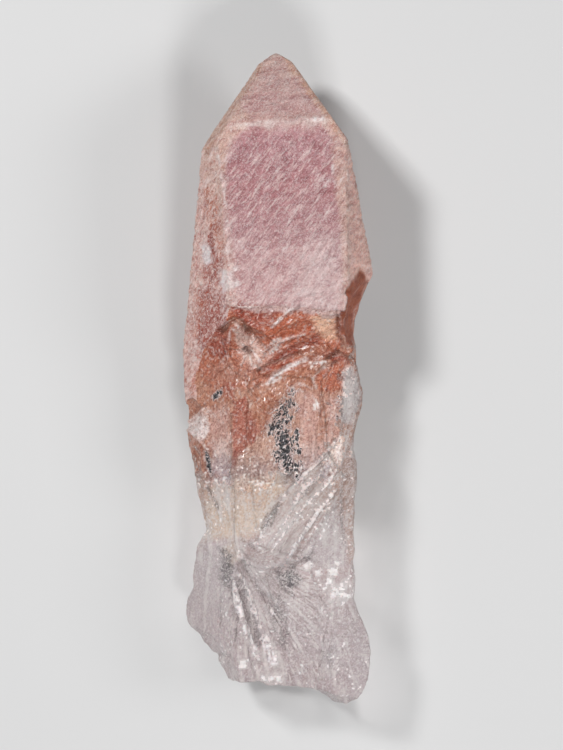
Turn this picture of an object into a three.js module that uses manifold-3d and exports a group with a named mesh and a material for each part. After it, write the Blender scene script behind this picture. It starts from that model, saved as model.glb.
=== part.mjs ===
// A Lemurian seed quartz point, one natural crystal lying on its back prism face.
// Millimetres. +Y runs along the crystal to its tip, +Z is up, and the flat back rests on z = 0.
// The crystal is made the way the real one came about: flat growth faces first, then the
// broken outline of its lower half, then the shell-shaped scars that the breaks left, and
// last the ladder of fine growth steps that names this habit.
import * as THREE from "three";
import { mergeVertices } from "three/addons/utils/BufferGeometryUtils.js";
import Module from "manifold-3d";

const wasm = await Module();
wasm.setup();

// Driving dimensions
const FRONT_HEIGHT = 22.0; // from the rest face up to the front prism face
const BLOCK = 400; // side of the rough blocks that the growth faces are cut from
const FLANK_STEPS = 8; // levels in the height of the broken flanks
const LEFT_WIDEST = 11; // height at which each broken flank stands out furthest
const FOOT_WIDEST = 7.5; // and the same for the left flank at the foot
const RIGHT_WIDEST = 14;
const LEFT_TOP_SHARE = 0.5; // share of that width left at the top and at the bottom
const RIGHT_TOP_SHARE = 0.84;
const BOTTOM_SHARE = 0.56;
const LADDER_PITCH = 2.7; // from one growth step to the next
const LADDER_DEPTH = 0.28;

const radians = THREE.MathUtils.degToRad;

// A closed three.js geometry as a solid that can be joined and cut.
function solidFrom(geometry) {
  const plain = geometry.clone();
  plain.deleteAttribute("normal");
  plain.deleteAttribute("uv");
  const merged = mergeVertices(plain, 1e-5);
  return new wasm.Manifold(
    new wasm.Mesh({
      numProp: 3,
      vertProperties: new Float32Array(merged.attributes.position.array),
      triVerts: new Uint32Array(merged.index.array),
    }),
  );
}

// The outward direction of a face. turn goes round the crystal from the front, and is
// positive to the left. lean tips the face towards the crystal's tip. Both are in degrees.
function facing(turn, lean) {
  const t = radians(turn);
  const l = radians(lean);
  return new THREE.Vector3(-Math.sin(t) * Math.cos(l), Math.sin(l), Math.cos(t) * Math.cos(l));
}

// Turns a shape whose own axis is +Z so that it points along direction, with its X rolled round.
function aim(geometry, direction, roll = 0) {
  geometry.rotateZ(radians(roll));
  const turnTo = new THREE.Quaternion().setFromUnitVectors(
    new THREE.Vector3(0, 0, 1),
    direction.clone().normalize(),
  );
  return geometry.applyQuaternion(turnTo);
}

// Everything behind one flat face.
function behindFace({ turn, lean, through }) {
  const direction = facing(turn, lean);
  const block = aim(new THREE.BoxGeometry(BLOCK, BLOCK, BLOCK), direction);
  const middle = new THREE.Vector3(...through).addScaledVector(direction, -BLOCK / 2);
  return solidFrom(block.translate(middle.x, middle.y, middle.z));
}

// Growth faces: six prism faces, six pyramid faces, and the blunt tip.
const GROWTH_FACES = [
  { turn: 0, lean: 1.2, through: [0, 25, FRONT_HEIGHT] }, // front prism
  { turn: 53.6, lean: -3.2, through: [-9.4, 35.4, 21.8] }, // upper left prism
  { turn: 118.7, lean: 11.2, through: [-12.2, 35.4, 18.0] }, // lower left prism
  { turn: -59.8, lean: 1.3, through: [11.0, 15.4, 22.1] }, // upper right prism
  { turn: -119.4, lean: 17.9, through: [15.0, 18.1, 15.1] }, // lower right prism
  { turn: 180, lean: 0, through: [0, 0, 0] }, // back prism, the rest face
  { turn: 1.1, lean: 36, through: [-5.4, 40.8, 21.7] }, // front pyramid
  { turn: 71.6, lean: 35.4, through: [-2.9, 50.4, 13.8] }, // upper left pyramid
  { turn: 120, lean: 24.9, through: [-2.9, 50.4, 13.8] }, // lower left pyramid
  { turn: -86, lean: 36, through: [2.3, 50.4, 13.8] }, // upper right pyramid
  { turn: -120, lean: 26.3, through: [2.3, 50.4, 13.8] }, // lower right pyramid
  { turn: 180, lean: 38, through: [0, 51.5, 12.0] }, // back pyramid
  { turn: -10, lean: 78, through: [-0.2, 51.8, 13.6] }, // blunt tip
  { turn: 75, lean: 55, through: [-1.9, 51.0, 13.6] },
  { turn: -85, lean: 57, through: [1.4, 51.1, 13.6] },
];

function growthForm() {
  return GROWTH_FACES.map(behindFace).reduce((form, face) => form.intersect(face));
}

// The plan outline of the broken lower half, clockwise from the right of the tip. Above
// the breaks it runs clear of the growth faces, which make the outline there.
const BROKEN_OUTLINE = [
  [18, 60], [18, 20], [15.3, 17.2], [14.6, 15.8], [13.3, 12.5], [12.4, 9.6], [12.05, 7.2],
  [12.5, 4.6], [12.6, 2.4], [13.2, -0.4], [13.7, -2.2], [13.6, -4.4], [12.8, -6.4],
  [12.15, -8.8], [12.0, -11.2], [12.5, -13.2], [12.6, -16.4], [12.2, -19.6], [12.3, -21.6],
  [12.0, -24.4], [12.25, -27], [12.0, -29], [12.4, -31.8], [12.2, -34.8], [12.7, -36.8],
  [13.6, -38.6], [14.4, -40.6], [14.9, -43.8], [14.8, -47.2], [14.1, -49.4], [12.9, -51.0],
  [11.7, -51.9], [10.4, -51.1], [8.8, -50.2], [6.6, -49.4], [3.8, -49.0], [-2.6, -48.7],
  [-3.4, -48.1], [-8.2, -48.2], [-8.9, -46.5], [-9.8, -45.1], [-9.7, -44.2], [-10.8, -43.6],
  [-11.9, -42.4], [-13.2, -40.6], [-14.4, -39.5], [-15.1, -38.6], [-15.1, -36.2], [-14.4, -33.4],
  [-13.7, -29.2], [-12.9, -26.5], [-11.4, -24.1], [-12.0, -21.8], [-13.0, -17.9],
  [-13.9, -13.2], [-14.7, -8.6], [-15.1, -5.0], [-15.2, 2.9], [-15.5, 5.8], [-18, 12], [-18, 60],
];

// How much of the outline's width is left at a height, narrowing away from the widest level.
function widthShare(z, widest, topShare) {
  return z > widest
    ? THREE.MathUtils.mapLinear(z, widest, FRONT_HEIGHT, 1, topShare)
    : THREE.MathUtils.mapLinear(z, 0, widest, BOTTOM_SHARE, 1);
}

function brokenFlanks() {
  const outline = new THREE.Shape(BROKEN_OUTLINE.map(([x, y]) => new THREE.Vector2(x, y)));
  const margin = 1;
  const flanks = new THREE.ExtrudeGeometry(outline, {
    depth: FRONT_HEIGHT + 2 * margin,
    steps: FLANK_STEPS,
    bevelEnabled: false,
  }).translate(0, 0, -margin);
  const at = flanks.attributes.position;
  for (let i = 0; i < at.count; i++) {
    const down = THREE.MathUtils.smoothstep(-at.getY(i), 29, 37);
    const leftWidest = THREE.MathUtils.lerp(LEFT_WIDEST, FOOT_WIDEST, down);
    const share =
      at.getX(i) < 0
        ? widthShare(at.getZ(i), leftWidest, LEFT_TOP_SHARE)
        : widthShare(at.getZ(i), RIGHT_WIDEST, RIGHT_TOP_SHARE);
    at.setX(i, at.getX(i) * share);
  }
  return solidFrom(flanks);
}

// The ladder of growth steps across one prism face, as a cutter: a saw-toothed bar that lies
// over the face from one height along the crystal to another, each tooth a shallow ledge.
function ladder({ turn, lean, through }, from, to) {
  const clear = 6; // how far the bar stands off the face
  const profile = [new THREE.Vector2(from, clear), new THREE.Vector2(from, 0)];
  const count = Math.floor((to - from) / LADDER_PITCH);
  for (let i = 0; i < count; i++) {
    const start = from + i * LADDER_PITCH;
    const rise = LADDER_PITCH * (0.72 + 0.2 * Math.sin(2.3 * i));
    const depth = LADDER_DEPTH * (0.75 + 0.25 * Math.cos(1.7 * i));
    profile.push(new THREE.Vector2(start + rise, -depth), new THREE.Vector2(start + rise + 0.12, 0));
  }
  profile.push(new THREE.Vector2(to, 0), new THREE.Vector2(to, clear));
  const bar = new THREE.ExtrudeGeometry(new THREE.Shape(profile), {
    depth: 40,
    steps: 1,
    bevelEnabled: false,
  }).translate(0, 0, -20);
  const out = facing(turn, lean);
  const along = new THREE.Vector3(0, 1, 0).addScaledVector(out, -out.y).normalize();
  const across = new THREE.Vector3().crossVectors(along, out);
  const origin = new THREE.Vector3(...through).addScaledVector(along, -through[1] / along.y);
  bar.applyMatrix4(new THREE.Matrix4().makeBasis(along, out, across).setPosition(origin));
  return solidFrom(bar);
}

// A shell-shaped scar, as a cutter. at is its deepest point, turn and lean its way out of
// the crystal, and reach its half length and half width where it is depth deep. Past its
// reach the rim rises steeply, as the edge of a real shell break does.
const SHELL_RINGS = [0, 0.3, 0.55, 0.78, 0.95, 1.1, 1.3, 1.6, 2];
const shellRise = (r) => 0.75 * r ** 2 + 0.25 * r ** 6;

function scar({ at, turn, lean, roll = 0, reach, depth, sides = 20, ribs = 0, ribHeight = 0 }) {
  const rim = Math.max(...SHELL_RINGS);
  const top = depth * shellRise(rim) + 1;
  const profile = SHELL_RINGS.map((r) => new THREE.Vector2(r, depth * shellRise(r)));
  profile.push(new THREE.Vector2(rim, top), new THREE.Vector2(0, top));
  const dish = new THREE.LatheGeometry(profile, sides).rotateX(Math.PI / 2);
  if (ribs) raiseRibs(dish.attributes.position, top, ribs, ribHeight);
  dish.scale(reach[0], reach[1], 1);
  aim(dish, facing(turn, lean), roll);
  return solidFrom(dish.translate(...at));
}

// Ribs that run out from a scar's deepest point, uneven round it.
function raiseRibs(positions, top, ribs, ribHeight) {
  for (let i = 0; i < positions.count; i++) {
    const [x, y, z] = [positions.getX(i), positions.getY(i), positions.getZ(i)];
    const around = Math.atan2(y, x);
    const wave = Math.cos(ribs * around) + 0.6 * Math.cos(2 * around + 1);
    if (z < top) positions.setZ(i, z + ribHeight * Math.min(1, Math.hypot(x, y)) * wave);
  }
}

// The large breaks that took the front skin off the lower half and thinned the foot.
const SPALLS = [
  // front, from the face's lower edge to the pocket
  { at: [1.5, -14, 17.7], turn: 0, lean: 0, roll: -5, reach: [44, 25], depth: 4, sides: 40 },
  // front of the foot
  { at: [0, -40, 16.2], turn: 0, lean: -10, reach: [36, 40], depth: 4, sides: 36 },
  // the slope just under the face
  { at: [5, 5.6, 18], turn: -3, lean: -25, roll: 14, reach: [12, 5.5], depth: 1.6 },
  // left shoulder of the break, left middle, and left lobe of the foot
  { at: [-9, 1.5, 16.6], turn: 42, lean: -10, reach: [9, 8.5], depth: 1.2 },
  { at: [-9, -13, 15.2], turn: 36, lean: -3, reach: [8.5, 16], depth: 1.4 },
  { at: [-10.2, -37, 13.8], turn: 36, lean: -6, reach: [9, 15], depth: 0.9 },
  // the broken end, above and below its edge, and its left corner
  { at: [0, -51, 12.2], turn: 0, lean: -52, reach: [18, 9], depth: 1.6 },
  { at: [0, -51, 6.4], turn: 180, lean: -38, reach: [18, 12], depth: 1.6 },
  { at: [-13.2, -44.8, 11.6], turn: 40, lean: -42, reach: [9, 6], depth: 0.8 },
];

// The ribbed pit at the left, under the face's lower edge.
const PIT = {
  at: [-3.9, 5, 16.9], turn: 4, lean: -14, roll: -32, reach: [4.2, 3.2], depth: 1.9,
  sides: 42, ribs: 7, ribHeight: 0.17,
};

// The smaller scars inside the spalls, from the face's lower edge down to the foot.
const SHELLS = [
  // right notch, and the two long scoops and three chips between it and the pit
  { at: [11.9, 9.4, 15.2], turn: -56, lean: -6, reach: [5.2, 5.8], depth: 1.8 },
  { at: [4, 3, 16.7], turn: 2, lean: -3, roll: 23, reach: [9.6, 2.8], depth: 1 },
  { at: [1.6, -0.2, 16.5], turn: 4, lean: 2, roll: 32, reach: [7.6, 2.4], depth: 0.8 },
  { at: [8.8, 1.8, 16.3], turn: -14, lean: -2, roll: 16, reach: [4.6, 3.2], depth: 0.8 },
  { at: [11.2, 2, 15.1], turn: -24, lean: -4, roll: 38, reach: [3.6, 1.3], depth: 0.9 },
  { at: [-10, -1.6, 15.3], turn: 46, lean: -2, roll: -28, reach: [5.4, 2.8], depth: 0.9 },
  // right facet, left triangle, and the hollow under it
  { at: [13, -3, 14.3], turn: -54, lean: -5, reach: [5.4, 5.8], depth: 0.9 },
  { at: [-12.7, -6.8, 12.4], turn: 64, lean: 12, reach: [3.6, 3], depth: 0.8 },
  { at: [-12.2, -14.6, 12.2], turn: 60, lean: -6, reach: [4.6, 7.4], depth: 1.4 },
  // the upright panels across the middle
  { at: [-4, -7.2, 16.8], turn: 20, lean: 3, roll: -8, reach: [3.2, 8.2], depth: 0.9 },
  { at: [0.4, -11.8, 16.6], turn: 5, lean: 5, roll: 48, reach: [9, 3.8], depth: 0.8 },
  { at: [3.6, -6.6, 16.6], turn: -2, lean: 1, roll: -6, reach: [2.6, 9], depth: 0.8 },
  { at: [8.6, -8.2, 15.8], turn: -18, lean: 1, roll: 5, reach: [3.8, 9.6], depth: 0.9 },
  { at: [-8.6, -20.6, 14.4], turn: 38, lean: 2, roll: 10, reach: [5.4, 8.4], depth: 0.9 },
  { at: [-1.6, -20, 16.5], turn: 7, lean: 5, roll: 20, reach: [6.2, 6.6], depth: 0.8 },
  { at: [8.4, -26.4, 15.6], turn: -17, lean: 0, roll: -16, reach: [4.6, 10.4], depth: 1 },
  // the pocket under its ledge, and the two panels of the foot
  { at: [4, -31.6, 15.6], turn: -2, lean: 2, roll: 12, reach: [5.6, 3], depth: 1.1 },
  { at: [9, -42.4, 14.7], turn: -12, lean: -9, roll: 10, reach: [6.6, 9.4], depth: 0.9 },
  { at: [2.6, -42.6, 14.5], turn: 4, lean: -11, roll: -10, reach: [4.8, 8.6], depth: 0.8 },
  // behind
  { at: [-12.8, -22, 5.6], turn: 112, lean: 0, reach: [7, 9], depth: 1.2 },
  { at: [11.4, -8, 5], turn: -118, lean: -4, reach: [7, 14], depth: 1.1 },
  { at: [12, -38, 5], turn: -124, lean: -6, reach: [8, 11], depth: 1.1 },
  { at: [-4, -42, 2.8], turn: 168, lean: -16, reach: [11, 11], depth: 1 },
];

// Ribs that cross the crystal side by side, down to the left.
const DIAGONAL_RIBS = [0, 1, 2, 3, 4].map((i) => ({
  at: [4.4 + 0.95 * i, -18.4 - 0.8 * i, 16.6 - 0.16 * i],
  turn: -4,
  lean: -1,
  roll: 49 + 2 * i,
  reach: [8.6 - 0.5 * i, 0.68],
  depth: 0.3,
  sides: 12,
}));

// Ribs that fan out down the foot from one point.
const FAN_APEX = [-5.8, -27.5];
const FAN_RIBS = [0, 1, 2, 3].map((i) => {
  const angle = -82 + 7 * i;
  const middle = 11 - 0.8 * i;
  const x = FAN_APEX[0] + middle * Math.cos(radians(angle));
  const y = FAN_APEX[1] + middle * Math.sin(radians(angle));
  const z = 15.3 + 0.12 * i;
  return { at: [x, y, z], turn: 4, lean: -10, roll: angle, reach: [8.4, 0.85], depth: 0.4, sides: 12 };
});

function crystalSolid() {
  let crystal = growthForm();
  crystal = crystal.subtract(ladder(GROWTH_FACES[2], 1, 34));
  crystal = crystal.subtract(ladder(GROWTH_FACES[3], 13, 35));
  crystal = crystal.intersect(brokenFlanks());
  for (const one of [...SPALLS, PIT, ...SHELLS, ...DIAGONAL_RIBS, ...FAN_RIBS]) {
    crystal = crystal.subtract(scar(one));
  }
  return crystal;
}

// A solid as a flat-faced geometry, with the middle of its box over the origin.
function geometryFrom(solid) {
  const mesh = solid.getMesh();
  const geometry = new THREE.BufferGeometry();
  const positions = new Float32Array(mesh.numVert * 3);
  for (let i = 0; i < mesh.numVert; i++) {
    positions.set(mesh.vertProperties.subarray(i * mesh.numProp, i * mesh.numProp + 3), 3 * i);
  }
  geometry.setAttribute("position", new THREE.BufferAttribute(positions, 3));
  geometry.setIndex(new THREE.BufferAttribute(new Uint32Array(mesh.triVerts), 1));
  geometry.computeBoundingBox();
  const { min, max } = geometry.boundingBox;
  geometry.translate(-(min.x + max.x) / 2, -(min.y + max.y) / 2, -min.z);
  return geometry;
}

const quartz = new THREE.MeshStandardMaterial({ color: 0xc9a8a4, roughness: 0.5, metalness: 0 });
const crystal = new THREE.Mesh(geometryFrom(crystalSolid()), quartz);
crystal.name = "crystal";

const part = new THREE.Group();
part.add(crystal);

export default part;
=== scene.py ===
import math

import bpy
import numpy as np
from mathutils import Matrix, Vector, noise


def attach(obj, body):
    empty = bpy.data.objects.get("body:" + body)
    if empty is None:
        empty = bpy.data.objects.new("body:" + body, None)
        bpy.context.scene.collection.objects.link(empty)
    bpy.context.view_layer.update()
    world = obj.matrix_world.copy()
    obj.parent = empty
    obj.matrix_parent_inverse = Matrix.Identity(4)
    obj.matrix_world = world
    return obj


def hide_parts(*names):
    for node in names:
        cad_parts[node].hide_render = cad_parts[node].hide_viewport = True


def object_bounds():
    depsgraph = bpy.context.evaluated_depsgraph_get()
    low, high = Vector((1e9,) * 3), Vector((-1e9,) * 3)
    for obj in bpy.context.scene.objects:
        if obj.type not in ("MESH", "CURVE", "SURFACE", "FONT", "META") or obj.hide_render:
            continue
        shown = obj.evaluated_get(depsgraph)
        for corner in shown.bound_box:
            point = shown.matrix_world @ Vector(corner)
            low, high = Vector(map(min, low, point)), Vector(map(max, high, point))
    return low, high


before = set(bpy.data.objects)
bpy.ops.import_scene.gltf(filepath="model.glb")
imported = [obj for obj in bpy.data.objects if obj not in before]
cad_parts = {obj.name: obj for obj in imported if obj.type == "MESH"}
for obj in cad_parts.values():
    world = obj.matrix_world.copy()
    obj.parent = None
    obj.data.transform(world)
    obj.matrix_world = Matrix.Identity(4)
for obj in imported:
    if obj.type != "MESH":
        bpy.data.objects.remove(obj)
cad_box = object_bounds()

# The crystal's body: one natural quartz point. Its upper half still has the flat growth faces,
# frosted by later growth, and its lower half is glassy where it broke. It is the CAD solid,
# remeshed finely enough to carry the hillocks of the faces and the ribs of the breaks.
MM = 0.001
VOXEL = 0.235 * MM
KEPT_SHARE = 0.52  # of the triangles, after the back and sides are thinned
GROWTH_FACES = [  # turn round the crystal from the front, and lean towards the tip, in degrees
    (0, 1.2), (53.6, -3.2), (118.7, 11.2), (-59.8, 1.3), (-119.4, 17.9), (180, 0),
    (1.1, 36), (71.6, 35.4), (120, 24.9), (-86, 36), (-120, 26.3), (180, 38),
]
STREAK_ANGLE = math.radians(57)  # the grain of the faces climbs to the right

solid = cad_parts["crystal"]
body = bpy.data.objects.new("crystal_body", solid.data.copy())
bpy.context.scene.collection.objects.link(body)
body.data.materials.clear()


def apply_modifiers(piece):
    """Replaces a piece's mesh by the one that its modifiers make."""
    graph = bpy.context.evaluated_depsgraph_get()
    made = bpy.data.meshes.new_from_object(piece.evaluated_get(graph))
    piece.modifiers.clear()
    old = piece.data
    piece.data = made
    bpy.data.meshes.remove(old)


remesh = body.modifiers.new("fine", "REMESH")
remesh.mode = "VOXEL"
remesh.voxel_size = VOXEL
remesh.use_smooth_shade = True
soften = body.modifiers.new("soften", "SMOOTH")
soften.factor = 0.5
soften.iterations = 1
apply_modifiers(body)
facing_up = body.vertex_groups.new(name="front")
for vertex in body.data.vertices:
    if vertex.normal.z > 0.15:
        facing_up.add([vertex.index], 1.0, "REPLACE")
thin_back = body.modifiers.new("thin_back", "DECIMATE")
thin_back.ratio = KEPT_SHARE
thin_back.vertex_group = "front"
thin_back.invert_vertex_group = True
apply_modifiers(body)


def points_of(mesh):
    """A mesh's points, in millimetres."""
    co = np.empty(len(mesh.vertices) * 3)
    mesh.vertices.foreach_get("co", co)
    return co.reshape(-1, 3) / MM


def normals_of(mesh):
    n = np.empty(len(mesh.vertices) * 3)
    mesh.vertex_normals.foreach_get("vector", n)
    return n.reshape(-1, 3)


def smoothstep(low, high, x):
    t = np.clip((x - low) / (high - low), 0, 1)
    return t * t * (3 - 2 * t)


def noise_at(places, octaves=1):
    """Smooth noise from -1 to 1 at each place, with finer octaves at half the height each."""
    total = np.zeros(len(places))
    for octave in range(octaves):
        scaled = places * 2**octave + 17.3 * octave
        total += np.array([noise.noise(p) for p in scaled.tolist()]) / 2**octave
    return total


points = points_of(body.data)
normals = normals_of(body.data)
solid_points = points_of(solid.data)

# The growth faces: the outermost planes of the crystal, where nothing broke off. Each point gets
# how surely it lies on one, and its place along and across that face's slanted grain.
skin = np.zeros(len(points))
nearest = np.full(len(points), 99.0)
second = np.full(len(points), 99.0)
along = np.zeros(len(points))
aside = np.zeros(len(points))
for turn, lean in GROWTH_FACES:
    turned, leaning = math.radians(turn), math.radians(lean)
    flat_part = math.cos(leaning)
    way = np.array([-math.sin(turned) * flat_part, math.sin(leaning), math.cos(turned) * flat_part])
    behind = (solid_points @ way).max() - points @ way
    facing = smoothstep(0.80, 0.93, normals @ way)
    skin = np.maximum(skin, (1 - smoothstep(0.12, 0.45, behind)) * facing)
    second = np.minimum(second, np.maximum(behind, nearest))
    closer = behind < nearest
    nearest = np.where(closer, behind, nearest)
    level = np.cross([0, 1, 0], way)
    level /= np.linalg.norm(level)
    up = np.cross(way, level)
    streak = math.cos(STREAK_ANGLE) * level + math.sin(STREAK_ANGLE) * up
    across = -math.sin(STREAK_ANGLE) * level + math.cos(STREAK_ANGLE) * up
    along = np.where(closer, points @ streak, along)
    aside = np.where(closer, points @ across, aside)
edge = (1 - smoothstep(0.3, 1.3, second)) * (nearest < 0.6)

# Relief of the growth faces: slanted hillocks on slow swells, as the faces grew.
hills = noise_at(np.stack([along / 1.9, aside / 0.7, points[:, 2] / 9 + 3], 1), 2)
swell = noise_at(points / 5.0)
face_height = 0.10 * (1 - np.abs(hills) * 2) + 0.08 * swell

# What the photo shows on the crystal is placed by photo pixels, seen from the camera above it.
PHOTO_WIDTH, PHOTO_HEIGHT = 563, 750
PHOTO_MIDDLE = (277.5, 379.0)  # where the crystal's middle is in the photo
MM_PER_PIXEL = 0.16
LENS, SENSOR = 200.0, 36.0
CAMERA_DISTANCE = PHOTO_HEIGHT * MM_PER_PIXEL * LENS / SENSOR  # mm, from the crystal's middle
middle = (cad_box[0] + cad_box[1]) / 2
nearer = CAMERA_DISTANCE / (CAMERA_DISTANCE - points[:, 2] + middle.z / MM)
seen = (points[:, :2] - [middle.x / MM, middle.y / MM]) * nearer[:, None]
looks_up = smoothstep(-0.05, 0.25, normals[:, 2])
wander = noise_at(points / 1.3, 3)


def on_crystal(pixels):
    """Photo pixels as places on the crystal, in millimetres from its middle."""
    return (np.array(pixels, float) - PHOTO_MIDDLE) * [MM_PER_PIXEL, -MM_PER_PIXEL]


def off_line(line):
    """Each point's distance from a line through photo pixels, in millimetres."""
    least = np.full(len(seen), 1e9)
    for a, b in zip(line[:-1], line[1:]):
        run = b - a
        t = np.clip(((seen - a) @ run) / (run @ run), 0, 1)
        least = np.minimum(least, np.linalg.norm(seen - a - t[:, None] * run, axis=1))
    return least


def within(pixels, soft, rough):
    """1 inside an outline of photo pixels and 0 outside, over a soft and ragged edge, in mm."""
    outline = on_crystal(pixels)
    inside = np.zeros(len(seen), dtype=bool)
    for a, b in zip(outline, np.roll(outline, -1, axis=0)):
        spans = (a[1] > seen[:, 1]) != (b[1] > seen[:, 1])
        rise = b[1] - a[1] if b[1] != a[1] else 1e-9
        cross = a[0] + (seen[:, 1] - a[1]) * (b[0] - a[0]) / rise
        inside ^= spans & (seen[:, 0] < cross)
    depth = off_line(np.vstack([outline, outline[:1]])) * np.where(inside, 1, -1)
    return smoothstep(-soft, soft, depth + rough * wander) * looks_up


def along_stroke(pixels, width, rough):
    """1 on a line of photo pixels, fading out to its half width in mm, with a ragged edge."""
    off = off_line(on_crystal(pixels)) + rough * wander
    return (1 - smoothstep(0.3 * width, width, off)) * looks_up


# Relief of the breaks: lumps, ledges where a break changed level, and hackle, the fine ribs
# that run out from where each break began. Places are in millimetres.
BREAKS = [  # middle of the stretch, its half width and height, where its ribs start, their strength
    ((4, 9), (12, 3), (40, 40), 0.5),
    ((-4.8, 4.8), (4, 4), (-4.8, 4.6), 0.9),
    ((3, 3), (8, 2.5), (40, 21), 0.9),
    ((-12, 3), (4, 4), (10, 28), 0.8),
    ((11, -2), (3, 14), (30, 60), 1.0),
    ((1, -10), (6, 10), (9, 60), 0.8),
    ((-9, -8), (4, 10), (-30, -60), 0.5),
    ((4, -20), (9, 8), (34, 16), 1.0),
    ((9, -26), (4, 9), (12, 90), 0.15),
    ((-1.5, -37), (8, 10), (-5.4, -28.5), 1.0),
    ((-12, -36), (3, 9), (-12, -120), 0.25),
    ((12, -44), (4, 8), (4, -20), 0.15),
    ((-8, -22), (5, 8), (-14, 40), 0.4),
]
plan = points[:, :2]
hackle = np.zeros(len(points))
share = np.full(len(points), 1e-6)
ribbed = np.zeros(len(points))
best = np.full(len(points), 1e-9)
runner_up = np.zeros(len(points))
rib_place = np.zeros((len(points), 3))  # across the ribs, along them, and depth
for number, (centre, half, start, strength) in enumerate(BREAKS):
    far = np.linalg.norm((plan - centre) / half, axis=1)
    weight = np.exp(-2.2 * far**2)
    out = plan - start
    reach = np.linalg.norm(out, axis=1)
    turn = np.arctan2(out[:, 1], out[:, 0])
    span = np.linalg.norm(np.array(centre) - start) + 3
    ribs = noise_at(np.stack([turn * span / 0.75, reach / 7, points[:, 2] / 14 + number], 1), 2)
    hackle += weight * 1.25 * ribs
    share += weight
    strongest = weight > best
    runner_up = np.maximum(runner_up, np.minimum(weight, best))
    best = np.maximum(best, weight)
    here = np.stack([turn * span, reach, points[:, 2] + 9 * number], 1)
    rib_place = np.where(strongest[:, None], here, rib_place)
    ribbed += weight * strength
hackle /= share
ribbed /= share
ribbed *= smoothstep(0.0, 0.30, 1 - runner_up / best)  # no seam where two stretches meet
lumps = noise_at(points / 2.6, 3)
level = noise_at(points * [0.16, 0.11, 0.16] + 5, 2) * 6
ledge = (np.floor(level) + smoothstep(0.78, 1.0, level - np.floor(level))) / 6
stepped = smoothstep(0.1, 0.5, normals[:, 2])
break_height = 0.07 * lumps + 1.2 * (ledge - level / 6) * stepped + 0.15 * hackle

# Sharp ridges and grooves where two breaks meet: height and half width in mm, how white or
# dark the line is (the white partly the ridge's own, partly painted highlight), and the line in
# photo pixels.
RIDGES = [
    (0.35, 0.45, 0.8, [(342, 290), (326, 296), (312, 297), (300, 301), (285, 314), (272, 327)]),
    (0.30, 0.60, 0.9, [(267, 384), (274, 375), (286, 368), (296, 363), (306, 359)]),
    (0.25, 0.40, 0.6, [(273, 345), (282, 341), (292, 337), (304, 334)]),
    (0.30, 0.40, 0.7, [(262, 345), (270, 352), (276, 346)]),
    (0.25, 0.35, 0.7, [(231, 328), (228, 342)]),
    (0.20, 0.30, 0.7, [(247, 351), (240, 340)]),
    (0.20, 0.30, 0.7, [(247, 351), (238, 352)]),
    (0.20, 0.30, 0.7, [(247, 352), (241, 365)]),
    (0.20, 0.30, 0.8, [(249, 352), (252, 368)]),
    (0.20, 0.30, 0.8, [(252, 350), (262, 364)]),
    (0.20, 0.30, 0.7, [(254, 346), (266, 354)]),
    (0.20, 0.30, 0.6, [(251, 343), (258, 336)]),
    (0.3, 0.4, 0.5, [(184, 426), (206, 408)]),
    (0.30, 0.40, 0.6, [(184, 426), (196, 436), (207, 449)]),
    (0.25, 0.35, 0.6, [(316, 388), (313, 378), (318, 372), (330, 366)]),
    (0.20, 0.30, 0.7, [(289, 388), (300, 383), (312, 389)]),
    (0.3, 0.4, 0.6, [(345, 372), (344, 395), (342, 420)]),
    (0.30, 0.45, 1.0,
     [(341, 434), (330, 448), (318, 462), (300, 478), (286, 494), (268, 520), (257, 545)]),
    (0.25, 0.40, 1.0, [(338, 447), (336, 470), (326, 486), (308, 502), (292, 522), (272, 550)]),
    (0.35, 0.50, 1.0, [(335, 490), (322, 507), (309, 525), (296, 545), (287, 560)]),
    (0.25, 0.35, 0.9, [(318, 478), (305, 487), (292, 503)]),
    (0.2, 0.35, 0.9, [(322, 470), (300, 495), (280, 530), (268, 546)]),
    (0.30, 0.40, 0.5, [(341, 440), (341, 470), (341, 500), (343, 530), (347, 552)]),
    (0.45, 0.95, 1.0, [(234, 588), (240, 612), (250, 640), (258, 658)]),
    (0.45, 0.80, 1.0, [(240, 574), (248, 592), (257, 618), (264, 640)]),
    (0.40, 1.60, 1.0, [(264, 640), (270, 652), (274, 662)]),
    (0.2, 0.35, 0.8, [(242, 558), (253, 565), (264, 567), (287, 565)]),
    (0.20, 0.35, 0.9, [(268, 346), (274, 341), (281, 338)]),
    (0.2, 0.3, 0.9, [(262, 352), (270, 348)]),
    (0.25, 0.40, 1.0, [(236, 324), (240, 328)]),
    (0.2, 0.3, 0.8, [(250, 368), (256, 366), (262, 370)]),
    (0.20, 0.35, 0.9, [(301, 300), (290, 309), (273, 325)]),
    (0.2, 0.3, 0.8, [(236, 306), (248, 307), (258, 306)]),
    (0.25, 0.40, 0.6, [(243, 557), (262, 586), (276, 604)]),
    (0.25, 0.40, 0.6, [(233, 575), (236, 604), (246, 634)]),
    (0.30, 0.50, 0.7, [(238, 556), (250, 563), (262, 568), (272, 566), (285, 562)]),
    (0.30, 0.40, 0.6, [(285, 562), (297, 560), (306, 555), (312, 547)]),
    (0.20, 0.35, 0.5, [(318, 600), (322, 640), (330, 676)]),
    (0.2, 0.3, 0.5, [(205, 486), (215, 505), (220, 515)]),
]
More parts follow.
